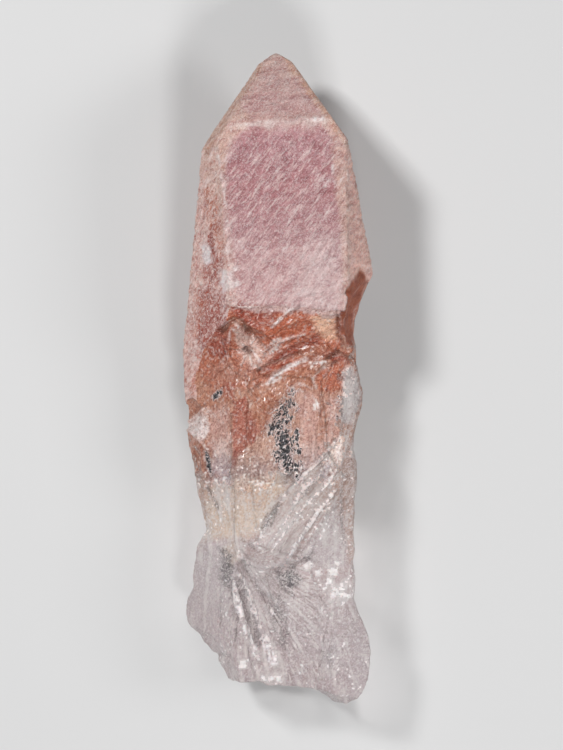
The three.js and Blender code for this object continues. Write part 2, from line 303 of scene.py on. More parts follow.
GROOVES = [
    (0.55, 0.75, 1.0, [(221, 331), (226, 325), (233, 321), (240, 322), (248, 330)]),
    (0.40, 0.45, 0.8, [(239, 584), (249, 618), (258, 646)]),
    (0.3, 0.5, 0.7, [(230, 586), (233, 618)]),
    (0.30, 0.60, 0.7, [(278, 618), (284, 628), (287, 636)]),
    (0.5, 0.6, 1.0, [(246, 349), (250, 352)]),
    (0.30, 0.40, 0.6, [(248, 330), (256, 338), (264, 346)]),
    (0.3, 0.4, 0.8, [(245, 350), (249, 353)]),
    (0.35, 0.45, 0.7, [(258, 371), (272, 364), (288, 358), (300, 353)]),
    (0.30, 0.40, 0.6, [(262, 377), (276, 372), (290, 364)]),
    (0.3, 0.4, 0.8, [(250, 391), (256, 388), (262, 384)]),
    (0.35, 0.50, 0.9, [(329, 358), (338, 353), (352, 360)]),
    (0.35, 0.45, 0.8, [(316, 373), (326, 366), (338, 362)]),
    (0.35, 0.45, 0.8, [(337, 312), (341, 302), (348, 291)]),
    (0.3, 0.45, 0.6, [(337, 316), (338, 334), (343, 348)]),
    (0.40, 0.55, 1.0, [(204, 452), (208, 463), (210, 475)]),
    (0.3, 0.4, 0.8, [(206, 486), (212, 497), (217, 508)]),
    (0.25, 0.40, 0.7, [(232, 415), (230, 440), (228, 478)]),
    (0.25, 0.35, 0.4, [(232, 480), (233, 520), (234, 556)]),
    (0.35, 0.45, 0.7, [(262, 527), (268, 515), (278, 504)]),
    (0.25, 0.35, 0.6, [(255, 547), (248, 541), (240, 538)]),
    (0.30, 0.40, 0.6, [(342, 492), (342, 520), (345, 545)]),
    (0.3, 0.4, 0.6, [(230, 598), (236, 618), (234, 640)]),
    (0.30, 0.45, 0.5, [(243, 562), (256, 585), (266, 600)]),
    (0.25, 0.4, 0.6, [(286, 620), (284, 636), (286, 650)]),
    (0.30, 0.45, 0.6, [(292, 567), (298, 575), (300, 582)]),
    (0.3, 0.4, 0.7, [(302, 562), (308, 555), (312, 552)]),
]
line_height = np.zeros(len(points))
ridge_white_and_glint = np.zeros(len(points))
line_dark = np.zeros(len(points))
for rise, width, white, pixels in RIDGES:
    line = along_stroke(pixels, 0.85 * width, 0.18)
    line_height = np.maximum(line_height, rise * line)
    ridge_white_and_glint = np.maximum(ridge_white_and_glint, white * line)
for drop, width, dark, pixels in GROOVES:
    line = along_stroke(pixels, width, 0.12)
    line_height = np.where(line > 0.02, -drop * line, line_height)
    line_dark = np.maximum(line_dark, dark * line)

# The white of the ridges, partly their own and partly painted highlight, is broken up, as small
# chips left them.
ridge_white_and_glint *= 0.35 + 0.65 * smoothstep(-0.35, 0.30, noise_at(points / 0.45 + 50, 2))
height = skin * face_height + (1 - skin) * break_height + line_height
points += normals * height[:, None]
body.data.vertices.foreach_set("co", (points * MM).ravel())
body.data.update()

# The colours inside: rust and tea where iron crept in round the break, peach and cream beside
# it, rose under the frost, and milk where veils of tiny bubbles lie. Each patch has its colour,
# how soft and how ragged its edge is in mm, its strength, and its outline in photo pixels.
RUST, TEA, TAN = (0.33, 0.032, 0.008), (0.50, 0.105, 0.034), (0.46, 0.168, 0.090)
PEACH, CREAM, ROSE = (0.86, 0.52, 0.36), (0.90, 0.70, 0.54), (0.62, 0.37, 0.32)
MILK, ASH = (0.94, 0.88, 0.87), (0.64, 0.58, 0.60)
PATCHES = [
    (TEA, 1.2, 0.8, 0.75,
     [(226, 306), (345, 306), (345, 350), (300, 372), (262, 384), (214, 392), (196, 372), (210, 330)]),
    (RUST, 0.5, 0.5, 0.80, [(230, 306), (283, 309), (270, 326), (256, 330), (236, 320)]),
    (TEA, 0.4, 0.3, 0.85,
     [(289, 310), (317, 314), (335, 322), (336, 340), (317, 336), (298, 339), (280, 346), (262, 332),
      (272, 326)]),
    # Peach with a painted glow, where light shines through the quartz.
    ((1.0, 0.62, 0.43), 0.7, 0.4, 0.95, [(312, 318), (334, 312), (336, 338), (326, 340), (316, 330)]),
    (RUST, 0.6, 0.4, 0.75,
     [(258, 371), (274, 354), (294, 343), (318, 336), (322, 344), (302, 352), (288, 362), (272, 371)]),
    ((0.40, 0.135, 0.075), 0.4, 0.3, 0.90,
     [(298, 350), (312, 345), (330, 346), (333, 356), (322, 366), (300, 366)]),
    (TAN, 0.4, 0.3, 0.90, [(278, 378), (300, 368), (318, 370), (316, 388), (302, 388), (286, 390)]),
    (TEA, 0.4, 0.3, 0.80, [(316, 376), (328, 366), (352, 362), (346, 388), (332, 394), (318, 390)]),
    (RUST, 0.5, 0.4, 0.85, [(329, 352), (338, 350), (353, 359), (350, 363), (332, 364)]),
    ((0.20, 0.065, 0.035), 0.4, 0.3, 0.90,
     [(347, 290), (361, 273), (367, 284), (361, 300), (352, 309), (340, 315)]),
    ((0.34, 0.145, 0.095), 0.4, 0.3, 0.90,
     [(338, 315), (352, 309), (354, 345), (346, 352), (340, 340)]),
    (RUST, 0.5, 0.6, 0.80, [(209, 328), (224, 330), (230, 345), (226, 356), (212, 358), (204, 344)]),
    ((0.86, 0.66, 0.60), 0.4, 0.6, 0.85,
     [(235, 330), (245, 330), (256, 342), (262, 354), (258, 368), (248, 364), (238, 350)]),
    ((0.66, 0.40, 0.33), 0.6, 0.6, 0.60,
     [(238, 342), (252, 338), (268, 352), (274, 356), (262, 369), (244, 368), (236, 356)]),
    ((0.52, 0.22, 0.15), 0.9, 0.6, 0.80,
     [(211, 362), (240, 362), (262, 376), (248, 384), (222, 384), (206, 378)]),
    (RUST, 0.4, 0.4, 0.60, [(222, 383), (236, 384), (234, 398), (224, 400)]),
    (TAN, 0.8, 0.6, 0.80, [(187, 400), (206, 392), (232, 400), (232, 484), (206, 478), (190, 440)]),
    (ROSE, 0.7, 0.6, 0.90, [(209, 410), (230, 404), (229, 480), (214, 486), (208, 440)]),
    (RUST, 0.3, 0.7, 0.75,
     [(233, 400), (246, 398), (250, 412), (268, 424), (256, 440), (240, 456), (232, 466)]),
    (TAN, 0.5, 0.5, 0.85, [(250, 392), (276, 390), (276, 420), (262, 436), (252, 414)]),
    (ROSE, 0.8, 0.7, 0.90, [(298, 392), (340, 396), (338, 432), (322, 458), (304, 468), (298, 430)]),
    (TAN, 0.5, 0.5, 0.70, [(318, 394), (330, 396), (328, 430), (318, 446)]),
    (MILK, 0.5, 0.5, 0.95, [(343, 372), (352, 366), (360, 384), (362, 400), (352, 424), (342, 424)]),
    (MILK, 0.3, 0.4, 0.80, [(184, 426), (206, 411), (209, 432), (203, 441)]),
    (TAN, 0.5, 0.4, 0.85, [(187, 432), (203, 446), (206, 474), (198, 478)]),
    (CREAM, 1.0, 0.8, 0.85,
     [(206, 486), (232, 478), (282, 474), (284, 490), (262, 528), (240, 540), (205, 540)]),
    (PEACH, 1.2, 0.8, 0.40, [(240, 484), (268, 478), (276, 492), (252, 506), (238, 500)]),
    ((0.93, 0.80, 0.72), 0.5, 0.4, 0.95,
     [(342, 434), (344, 448), (338, 470), (330, 486), (316, 480), (324, 464), (334, 448)]),
    ((0.90, 0.68, 0.48), 0.5, 0.5, 0.70, [(330, 462), (338, 450), (336, 470), (330, 482), (324, 478)]),
    ((0.80, 0.62, 0.57), 0.9, 0.9, 0.50,
     [(300, 440), (322, 444), (318, 466), (306, 484), (280, 484), (296, 470)]),
    ((0.86, 0.72, 0.68), 0.8, 0.9, 0.60, [(212, 440), (230, 440), (230, 500), (214, 500)]),
    ((0.58, 0.42, 0.37), 0.5, 0.4, 0.95, [(343, 446), (356, 444), (358, 560), (348, 562), (343, 520)]),
    (MILK, 0.6, 0.8, 0.35,
     [(338, 440), (336, 486), (300, 540), (284, 562), (256, 548), (266, 520), (292, 484), (320, 458)]),
    (ASH, 0.8, 0.6, 0.70, [(336, 494), (341, 520), (346, 566), (312, 566), (302, 556), (318, 526)]),
    (ASH, 1.0, 0.6, 0.85,
     [(206, 542), (240, 540), (238, 570), (232, 612), (236, 664), (226, 660), (190, 625), (187, 600),
      (194, 560)]),
    (CREAM, 0.6, 0.5, 0.60, [(222, 544), (238, 542), (240, 560), (230, 568), (224, 556)]),
    ((0.56, 0.49, 0.50), 0.9, 0.9, 0.70,
     [(240, 560), (270, 568), (290, 590), (290, 660), (262, 668), (246, 620)]),
    ((0.66, 0.48, 0.47), 0.3, 0.5, 0.85,
     [(233, 304), (346, 304), (345, 316), (330, 318), (300, 312), (264, 312), (240, 309)]),
    (MILK, 0.9, 0.8, 0.95, [(330, 586), (346, 580), (354, 596), (344, 606), (330, 602)]),
    (MILK, 0.5, 0.5, 0.90, [(239, 658), (249, 660), (248, 668), (240, 667)]),
    (MILK, 0.5, 0.6, 0.85, [(259, 674), (284, 673), (282, 684), (262, 682)]),
    (ASH, 0.9, 0.9, 0.70, [(322, 642), (338, 640), (340, 668), (326, 676)]),
    (ASH, 1.0, 0.6, 0.60, [(352, 622), (370, 646), (370, 690), (352, 700), (356, 660)]),
]
# The dark of these windows and gaps is painted near-black, for the dark seen through the clear quartz.
PAINTED_DARKS = [  # dark windows and gaps: soft and ragged in mm, strength, outline in photo pixels
    (1.5, 0.8, 1.0,
     [(291, 388), (297, 391), (297, 404), (290, 418), (280, 420), (276, 410), (284, 400)]),
    (1.6, 0.9, 1.0, [(282, 412), (292, 418), (286, 434), (272, 438), (264, 430), (270, 420)]),
    (1.4, 0.9, 1.0,
     [(273, 434), (288, 428), (296, 434), (296, 464), (288, 472), (276, 462), (272, 446)]),
    (0.4, 0.3, 1.0, [(293, 428), (299, 428), (299, 447), (295, 446)]),
    (0.3, 0.3, 1.0, [(296, 448), (301, 448), (301, 457), (297, 455)]),
    (1.5, 1.0, 0.95, [(282, 462), (302, 460), (304, 476), (286, 480)]),
    (0.3, 0.3, 1.0, [(210, 398), (216, 391), (221, 388), (222, 394), (214, 400)]),
    (0.3, 0.3, 1.0, [(203, 450), (208, 454), (211, 474), (207, 474)]),
    (1.0, 1.0, 0.85, [(219, 548), (229, 548), (237, 572), (234, 590), (222, 586)]),
    (0.7, 0.8, 0.60, [(240, 580), (246, 582), (262, 640), (256, 644)]),
    (0.7, 0.9, 0.45, [(262, 590), (284, 596), (290, 650), (276, 640)]),
    (1.0, 1.0, 0.90, [(280, 568), (295, 564), (300, 580), (290, 592), (280, 584)]),
    (0.4, 0.5, 0.5, [(334, 396), (344, 394), (343, 418), (336, 420)]),
    (0.5, 0.8, 0.6, [(262, 528), (270, 512), (280, 502), (276, 516), (266, 532)]),
    (0.5, 0.7, 0.7, [(302, 564), (308, 552), (312, 552), (308, 562)]),
    (0.6, 0.9, 0.35, [(322, 650), (334, 646), (334, 668), (324, 670)]),
]


def paint(colours, colour, amount):
    return colours + amount[:, None] * (np.array(colour) - colours)


def up_ramp(stops):
    """A colour that changes up the crystal, from (height in mm, colour) stops."""
    wavy = points[:, 1] + 2.5 * wander
    places, colours = zip(*stops)
    return np.stack([np.interp(wavy, places, channel) for channel in zip(*colours)], 1)


tone = up_ramp([(-40, (0.57, 0.49, 0.505)), (-27, (0.60, 0.465, 0.46)), (-18, (0.68, 0.47, 0.39)),
                (-6, (0.56, 0.30, 0.21)), (4, (0.48, 0.17, 0.09)), (13, (0.45, 0.13, 0.07))])
for colour, soft, rough, strength, pixels in PATCHES:
    tone = paint(tone, colour, strength * within(pixels, soft, rough))
# The ridges painted white: partly their own white, partly painted highlight.
tone = paint(tone, MILK, ridge_white_and_glint)

# Crusts: where a break crumbled, it is opaque white and ragged, not glassy.
CRUSTS = [  # how ragged in mm, strength, and the outline in photo pixels
    (0.30, 1.0, [(302, 563), (312, 562), (312, 570), (303, 570)]),
    (0.30, 1.0, [(314, 570), (323, 568), (323, 575), (315, 576)]),
    (0.30, 1.0, [(328, 569), (339, 566), (339, 575), (329, 577)]),
    (0.25, 0.9, [(334, 561), (341, 561), (340, 567), (334, 566)]),
    (0.30, 0.9, [(326, 577), (334, 577), (333, 584), (326, 584)]),
    (0.80, 0.58, [(330, 586), (346, 580), (354, 596), (344, 606), (330, 602)]),
    (0.45, 0.9, [(239, 659), (249, 660), (247, 668), (241, 667)]),
    (0.60, 0.7, [(259, 674), (284, 673), (282, 684), (262, 682)]),
    (0.60, 0.7, [(268, 382), (276, 372), (290, 364), (304, 358), (300, 366), (284, 374), (274, 386)]),
    (0.60, 0.6, [(272, 344), (286, 338), (280, 348), (270, 354)]),
    (0.60, 0.6, [(308, 360), (332, 358), (326, 368), (310, 368)]),
    (0.40, 0.8, [(312, 396), (320, 402), (320, 412), (312, 412)]),
    (0.5, 0.6, [(231, 324), (240, 326), (238, 334), (232, 332)]),
    (0.80, 0.5, [(222, 486), (230, 494), (228, 512), (218, 508)]),
    (0.8, 0.5, [(300, 484), (318, 474), (310, 492), (296, 504)]),
]
crumbs = noise_at(points / 0.40 + 70, 2)
crust = np.zeros(len(points))
for rough, strength, pixels in CRUSTS:
    crust = np.maximum(crust, strength * within(pixels, 0.5, rough))
crust = smoothstep(0.25, 0.70, crust * (1 + 0.8 * crumbs) - 0.08) * (1 - skin)
tone = paint(tone, (0.92, 0.89, 0.88), 0.9 * crust)

# Stained stretches: round the top of the break iron and tiny cracks make the quartz opaque, and
# so they do along the cream edge at the right. White flecks, partly painted glints, and dark specks
# lie all over the breaks.
STAINED = [  # soft and ragged in mm, and the outline in photo pixels
    (1.2, 1.6,
     [(180, 300), (362, 280), (362, 330), (352, 362), (344, 372), (341, 400), (334, 440), (318, 462),
      (300, 480), (282, 470), (262, 484), (240, 488), (222, 480), (206, 486), (188, 440), (184, 424),
      (180, 380)]),
    (0.8, 0.2, [(343, 432), (345, 448), (338, 470), (330, 486), (318, 480), (324, 464), (334, 448)]),
]
stained = crust.copy()
for soft, rough, pixels in STAINED:
    stained = np.maximum(stained, within(pixels, soft, rough))
gathered = 0.30 * noise_at(points / 3.5 + 60, 2) - 0.05 * smoothstep(-20, -30, points[:, 1])
flecks_and_glints = smoothstep(0.32, 0.46, noise_at(points / 0.42 + 90) + gathered) * (1 - skin)
dark_speck_noise = noise_at(points / 0.55 + 120) + 0.2 * noise_at(points / 4.0 + 20)
dark_specks = smoothstep(0.30, 0.55, dark_speck_noise) * (1 - flecks_and_glints)
dark_specks *= 0.35 + 0.65 * smoothstep(-28, -14, points[:, 1])
tone *= 1 - dark_specks[:, None] * [0.35, 0.45, 0.48]
low = smoothstep(-8, -18, points[:, 1])
# White flecks: partly white crumbs, partly painted glints.
tone = paint(tone, (0.95, 0.93, 0.93), flecks_and_glints * (0.35 + 0.5 * low))
white = np.maximum(flecks_and_glints, ridge_white_and_glint)
chalky = np.maximum(crust, white * low)
stained = np.maximum(stained, 0.85 * ridge_white_and_glint)
stained = np.maximum(stained, 0.70 * flecks_and_glints)
meets_clear = smoothstep(-10, -15, points[:, 1] + wander) * stained
meets_clear *= 1 - np.maximum(crust, white)
tone *= 1 - meets_clear[:, None] * np.array([0.36, 0.31, 0.20])
tone = paint(tone, (0.20, 0.07, 0.04), 0.75 * line_dark * smoothstep(-20, 2, points[:, 1]))
# Painted dark: painted shade in the grooves low on the breaks, and near-black windows and gaps for the dark
# seen through the clear quartz.
dark = 0.7 * line_dark * (1 - smoothstep(-20, 2, points[:, 1]))
for soft, rough, strength, pixels in PAINTED_DARKS:
    dark = np.maximum(dark, strength * within(pixels, soft, rough))


def add_mask(mesh, name, values):
    made = mesh.attributes.new(name, "FLOAT", "POINT")
    made.data.foreach_set("value", np.clip(values, 0, 1))


def add_tone(mesh, name, colours):
    made = mesh.attributes.new(name, "FLOAT_COLOR", "POINT")
    made.data.foreach_set("color", np.hstack([colours, np.ones((len(colours), 1))]).ravel())


add_tone(body.data, "inner_tone", tone)
add_mask(body.data, "dark", dark)
add_mask(body.data, "hackle", 0.5 + 0.5 * hackle)
add_mask(body.data, "crust", chalky)
add_mask(body.data, "ribbed", ribbed)
rib_data = body.data.attributes.new("rib_place", "FLOAT_VECTOR", "POINT")
rib_data.data.foreach_set("vector", (rib_place * MM).ravel())
above_foot = smoothstep(-28, -10, points[:, 1])
smoother_skin = (1 - smoothstep(12, 20, points[:, 1])) * skin
add_mask(body.data, "grainy", 0.55 + 0.45 * above_foot * (1 - smoother_skin))

# Colours of the frosted skin: mauve on the front face, mottled rust and white down the left
# side, peach at the edges between faces, and tea-brown where the tip's sides turn away.
MAUVE, BLUSH = (0.52, 0.24, 0.25), (0.60, 0.36, 0.36)
FROST, PALE_SAND = (0.82, 0.72, 0.70), (0.72, 0.48, 0.40)
SKIN_PATCHES = [  # colour, soft and ragged in mm, strength, outline in photo pixels
    (BLUSH, 3.0, 1.5, 0.85, [(222, 240), (345, 225), (348, 330), (222, 330)]),
    (FROST, 2.5, 1.5, 0.35, [(300, 250), (345, 235), (346, 320), (290, 312)]),
    (PALE_SAND, 0.5, 0.4, 0.90,
     [(202, 152), (216, 128), (234, 104), (252, 114), (250, 123), (238, 136), (227, 152), (223, 180),
      (223, 210), (212, 214), (206, 200)]),
    ((0.50, 0.28, 0.19), 0.5, 0.6, 1.0,
     [(264, 60), (260, 72), (242, 98), (227, 122), (216, 138), (207, 156), (201, 152), (214, 120),
      (232, 92), (250, 68)]),
    ((0.60, 0.35, 0.25), 0.4, 0.5, 1.0,
     [(282, 56), (292, 70), (308, 94), (328, 122), (345, 148), (352, 148), (336, 116), (316, 88),
      (298, 62), (286, 50)]),
    (PALE_SAND, 0.6, 0.6, 0.75,
     [(322, 117), (346, 150), (352, 230), (350, 290), (345, 290), (342, 230), (335, 180), (333, 145),
      (324, 128)]),
    (FROST, 0.5, 0.6, 0.60, [(231, 128), (330, 122), (330, 118), (231, 123)]),
    ((0.90, 0.55, 0.46), 0.9, 0.6, 0.80, [(346, 150), (372, 240), (368, 285), (350, 285), (350, 220)]),
    ((0.56, 0.17, 0.09), 0.5, 0.9, 0.80,
     [(205, 190), (212, 188), (220, 220), (224, 250), (216, 262), (210, 230)]),
    (RUST, 0.6, 1.0, 0.85, [(207, 232), (214, 226), (222, 262), (218, 284), (204, 280)]),
    (RUST, 0.7, 1.1, 0.90,
     [(199, 286), (214, 280), (230, 300), (238, 318), (222, 330), (214, 350), (196, 350), (194, 318)]),
    (RUST, 0.6, 0.9, 0.80, [(226, 302), (262, 306), (250, 312), (232, 312)]),
    (TEA, 0.6, 0.8, 0.60, [(190, 384), (206, 350), (214, 352), (202, 388), (192, 408)]),
    ((0.90, 0.84, 0.84), 0.4, 0.7, 0.95, [(201, 244), (210, 246), (211, 262), (203, 262)]),
    ((0.90, 0.84, 0.84), 0.5, 0.8, 0.95, [(220, 272), (236, 268), (236, 286), (224, 294)]),
    (TEA, 0.6, 0.9, 0.55,
     [(196, 296), (206, 300), (200, 330), (192, 360), (186, 380), (184, 356), (190, 326)]),
    (FROST, 0.8, 0.9, 0.25, [(184, 330), (190, 300), (197, 300), (196, 352), (186, 372)]),
    (FROST, 0.5, 0.5, 0.50, [(222, 296), (236, 300), (234, 322), (230, 318)]),
]
NOTCH = [  # the rusty notch high on the right side, where the skin is gone
    (340, 312), (344, 294), (352, 280), (360, 268), (369, 282),
    (362, 300), (354, 312), (354, 345), (340, 345),
]
GLINTS = [  # half width in mm, strength, and the line in photo pixels
    (0.5, 1.0, [(322, 118), (316, 120)]),
    (0.3, 1.0, [(325, 186), (329, 181), (335, 183)]),
    (0.35, 0.8, [(333, 165), (333, 177)]),
    (0.3, 0.7, [(218, 152), (222, 180), (226, 205)]),
    (0.3, 0.45, [(240, 125), (262, 122), (282, 123), (300, 119), (324, 119)]),
    (0.25, 0.6, [(348, 160), (350, 166)]),
    (0.3, 0.5, [(226, 205), (228, 250), (230, 280)]),
    (0.3, 0.6, [(236, 303), (254, 304), (246, 308)]),
]
skin_tone = up_ramp([(-10, (0.60, 0.44, 0.42)), (12, (0.58, 0.36, 0.32)), (22, (0.54, 0.30, 0.31)),
                     (30, MAUVE), (38, (0.52, 0.25, 0.27)), (41, (0.58, 0.33, 0.32)),
                     (52, (0.60, 0.40, 0.35))])
turned_left = smoothstep(0.35, 0.7, -normals[:, 0])
turned_right = smoothstep(0.35, 0.7, normals[:, 0])
at_tip = smoothstep(34, 38, points[:, 1])
skin_tone = paint(skin_tone, (0.80, 0.53, 0.46), 0.9 * turned_left * (1 - at_tip))
skin_tone = paint(skin_tone, (0.82, 0.50, 0.42), 0.9 * turned_right * (1 - at_tip))
skin_tone = paint(skin_tone, (0.46, 0.26, 0.18), 0.7 * (turned_left + turned_right) * at_tip)
clouds = noise_at(points / 3.0 + 9, 3)
for colour, soft, rough, strength, pixels in SKIN_PATCHES:
    skin_tone = paint(skin_tone, colour, strength * within(pixels, soft, rough))
skin_tone = paint(skin_tone, (0.62, 0.42, 0.34), 0.35 * edge)
turned_away = smoothstep(0.97, 0.85, normals[:, 2])
down = smoothstep(0.3, 0.7, -normals[:, 2])
foot = 1 - smoothstep(-30, 6, points[:, 1])
skin_tone = paint(skin_tone, (0.50, 0.44, 0.43), 0.9 * down * foot)
skin_tone = paint(skin_tone, (0.80, 0.76, 0.75), 0.7 * down * smoothstep(0.1, 0.7, clouds))
for width, strength, pixels in GLINTS:
    patchy = smoothstep(-0.25, 0.35, noise_at(points / 0.9 + 40, 2))
    skin_tone = paint(skin_tone, (0.92, 0.86, 0.84), strength * patchy * along_stroke(pixels, width, 0.30))
notch = within(NOTCH, 0.4, 0.3) * turned_away
skin_tone = paint(skin_tone, (0.34, 0.095, 0.045), notch)
add_tone(body.data, "skin_tone", skin_tone)
add_mask(body.data, "bare", notch)
upright = points[:, 1] + wander
add_mask(body.data, "ridged", 1 - 0.65 * smoothstep(36, 38.5, upright) - 0.40 * smoothstep(27, 15, upright))
LEFT_SIDE = [
    (204, 160), (220, 158), (222, 240), (238, 262), (240, 300), (262, 304), (262, 312),
    (236, 316), (222, 340), (214, 360), (206, 400), (180, 420), (176, 330), (188, 240),
]
WHITEST = [  # the whitest patches of that side: how ragged in mm, and the outline
    (0.5, [(200, 243), (211, 245), (212, 263), (202, 263)]),
    (0.6, [(220, 272), (237, 268), (236, 288), (224, 294)]),
]
whitest = np.zeros(len(points))
for rough, pixels in WHITEST:
    whitest = np.maximum(whitest, within(pixels, 0.5, rough))
add_mask(body.data, "mottled", within(LEFT_SIDE, 1.2, 0.8) * (1 - 0.8 * whitest))


# Fine grain: under a lens every face is a crust of tiny quartz grains, with painted highlights
# where they catch the light and painted shade between them. The frost and the breaks share it,
# coarser or finer.
def new_group(name, inputs, outputs):
    """A shader node group with its named sockets: returns the tree, its inputs and outputs."""
    group = bpy.data.node_groups.new(name, "ShaderNodeTree")
    for socket, kind, value in inputs:
        made = group.interface.new_socket(socket, in_out="INPUT", socket_type=kind)
        made.default_value = value
    for socket, kind in outputs:
        group.interface.new_socket(socket, in_out="OUTPUT", socket_type=kind)
    return group, group.nodes.new("NodeGroupInput").outputs, group.nodes.new("NodeGroupOutput").inputs


def connect(tree, source, target):
    """Feeds a socket from a node, or sets its value where the source is a plain value."""
    if isinstance(source, bpy.types.NodeSocket):
        tree.links.new(source, target)
    elif isinstance(source, tuple):
        target.default_value = (*source, 1)
    else:
        target.default_value = source


def mix(tree, factor, first, second, blend="MIX"):
    made = tree.nodes.new("ShaderNodeMix")
    made.data_type = "RGBA"
    made.blend_type = blend
    sockets = {s.name: s for s in made.inputs if s.enabled}
    connect(tree, factor, sockets["Factor"])
    connect(tree, first, sockets["A"])
    connect(tree, second, sockets["B"])
    return [s for s in made.outputs if s.enabled][0]


def maths(tree, operation, *values):
    made = tree.nodes.new("ShaderNodeMath")
    made.operation = operation
    for value, socket in zip(values, made.inputs):
        connect(tree, value, socket)
    return made.outputs["Value"]


def fit(tree, source, low, high, to_low=0.0, to_high=1.0):
    """Carries a value from one range to another, smoothly and clamped."""
    made = tree.nodes.new("ShaderNodeMapRange")
    made.interpolation_type = "SMOOTHSTEP"
    connect(tree, source, made.inputs["Value"])
    for name, value in (("From Min", low), ("From Max", high), ("To Min", to_low), ("To Max", to_high)):
        made.inputs[name].default_value = value
    return made.outputs["Result"]


def attribute(tree, name, output="Fac"):
    made = tree.nodes.new("ShaderNodeAttribute")
    made.attribute_name = name
    return made.outputs[output]


def grain(tree, size, turn=0.0, detail=2.0, roughness=0.5, warp=0.0, place=None):
    """Noise whose grains have the given length, width and depth in mm, turned in plan."""
    mapping = tree.nodes.new("ShaderNodeMapping")
    mapping.vector_type = "TEXTURE"
    mapping.inputs["Rotation"].default_value = (0, 0, math.radians(turn))
    mapping.inputs["Scale"].default_value = [s * MM for s in size]
    made = tree.nodes.new("ShaderNodeTexNoise")
    made.inputs["Scale"].default_value = 1.0
    made.inputs["Detail"].default_value = detail
    made.inputs["Roughness"].default_value = roughness
    made.inputs["Distortion"].default_value = warp
    where = place or tree.nodes.new("ShaderNodeTexCoord").outputs["Object"]
    tree.links.new(where, mapping.inputs["Vector"])
    tree.links.new(mapping.outputs["Vector"], made.inputs["Vector"])
    return made.outputs["Fac"]


# The grain's inputs set how much of it is painted highlight and how much painted shade, and the colours of
# both.
GRAIN_INPUTS = [  # the stone's colour, how much goes pale or deep, and the colours of both
    ("Tone", "NodeSocketColor", (0.6, 0.5, 0.5, 1)),
    ("Pale", "NodeSocketFloat", 0.5),
    ("Deep", "NodeSocketFloat", 0.5),
    ("Glint", "NodeSocketColor", (0.93, 0.87, 0.85, 1)),
    ("Dim", "NodeSocketColor", (0.42, 0.24, 0.22, 1)),
]
GRAIN_OUTPUTS = [("Color", "NodeSocketColor"), ("Height", "NodeSocketFloat")]
fine_grain, given, result = new_group("fine_grain", GRAIN_INPUTS, GRAIN_OUTPUTS)
small = grain(fine_grain, (0.42, 0.32, 0.4), 57, detail=3, roughness=0.7)
curls = grain(fine_grain, (0.9, 0.6, 0.8), 40, detail=3, roughness=0.6, warp=1.0)
patchy = grain(fine_grain, (2.6, 1.8, 2.0), detail=2)
sparkle = grain(fine_grain, (0.22, 0.20, 0.2), 30, detail=1)
off_curl = maths(fine_grain, "ABSOLUTE", maths(fine_grain, "SUBTRACT", curls, 0.5))
thin_line = fit(fine_grain, off_curl, 0.030, 0.006)
lines = maths(fine_grain, "MULTIPLY", thin_line, fit(fine_grain, patchy, 0.42, 0.56))
# Painted shade in the hollows between the grains.
hollows = maths(fine_grain, "MAXIMUM", fit(fine_grain, small, 0.52, 0.36),
                fit(fine_grain, sparkle, 0.40, 0.30))
hollow_shade = maths(fine_grain, "MULTIPLY", given["Deep"], hollows)
shade_tone = mix(fine_grain, 1.0, given["Tone"], given["Dim"], "MULTIPLY")
shaded = mix(fine_grain, hollow_shade, given["Tone"], shade_tone)
# Painted glints on the grains and along thin curly lines.
specks = maths(fine_grain, "MAXIMUM", fit(fine_grain, small, 0.55, 0.67),
               fit(fine_grain, sparkle, 0.60, 0.68))
pale = maths(fine_grain, "MULTIPLY", given["Pale"], maths(fine_grain, "MAXIMUM", specks, lines))
connect(fine_grain, mix(fine_grain, pale, shaded, given["Glint"]), result["Color"])
connect(fine_grain, maths(fine_grain, "MULTIPLY_ADD", thin_line, 0.15, small), result["Height"])


def use_group(tree, group, **inputs):
    made = tree.nodes.new("ShaderNodeGroup")
    made.node_tree = group
    for name, value in inputs.items():
        connect(tree, value, made.inputs[name])
    return made.outputs


def new_material(name):
    made = bpy.data.materials.new(name)
    made.use_nodes = True
    return made, made.node_tree, made.node_tree.nodes["Principled BSDF"].inputs


def bump(tree, height, depth_mm):
    made = tree.nodes.new("ShaderNodeBump")
    made.inputs["Distance"].default_value = depth_mm * MM
    connect(tree, height, made.inputs["Height"])
    return made.outputs["Normal"]


# Frosted growth skin: a thin milky pink layer of later quartz over the growth faces. Its grain
# is slanted hillocks, with painted highlights on their crests and painted shade beside them; it is
# mauve at the top of the front face and paler below.
QUARTZ_INDEX = 1.54
# This colour dims the skin in its darker drifts, and as painted shade between its crests.
BETWEEN_CRESTS = (0.74, 0.60, 0.62)  # the skin's colour is dimmed by this between its crests
frosted, tree, surface = new_material("frosted_skin")
streaks = grain(tree, (2.0, 0.36, 1.2), 55, detail=3, roughness=0.65, warp=0.15)
hillocks = grain(tree, (3.0, 0.62, 1.8), 52, detail=3, roughness=0.6, warp=0.4)
drifts = grain(tree, (2.6, 0.9, 1.2), 12, detail=4, roughness=0.65, warp=0.3)
skin_base = attribute(tree, "skin_tone", "Color")
deep_drift = mix(tree, 1.0, skin_base, BETWEEN_CRESTS, "MULTIPLY")
banded = mix(tree, fit(tree, drifts, 0.55, 0.37, 0.0, 0.9), skin_base, deep_drift)
grainy = attribute(tree, "grainy")
mottled = attribute(tree, "mottled")
crumbly = grain(tree, (0.62, 0.50, 0.6), 60, detail=4, roughness=0.7, warp=0.6)
rust_specks = maths(tree, "MULTIPLY", mottled, fit(tree, crumbly, 0.47, 0.38, 0.0, 0.65))
frost_specks = maths(tree, "MULTIPLY", mottled, fit(tree, crumbly, 0.51, 0.60, 0.0, 0.85))
rusted = mix(tree, rust_specks, banded, (0.42, 0.10, 0.05))
frosty = mix(tree, frost_specks, rusted, (0.84, 0.62, 0.57))
grain_shade = maths(tree, "MULTIPLY", grainy, 0.34)
covered = maths(tree, "SUBTRACT", 1.0, attribute(tree, "bare"))
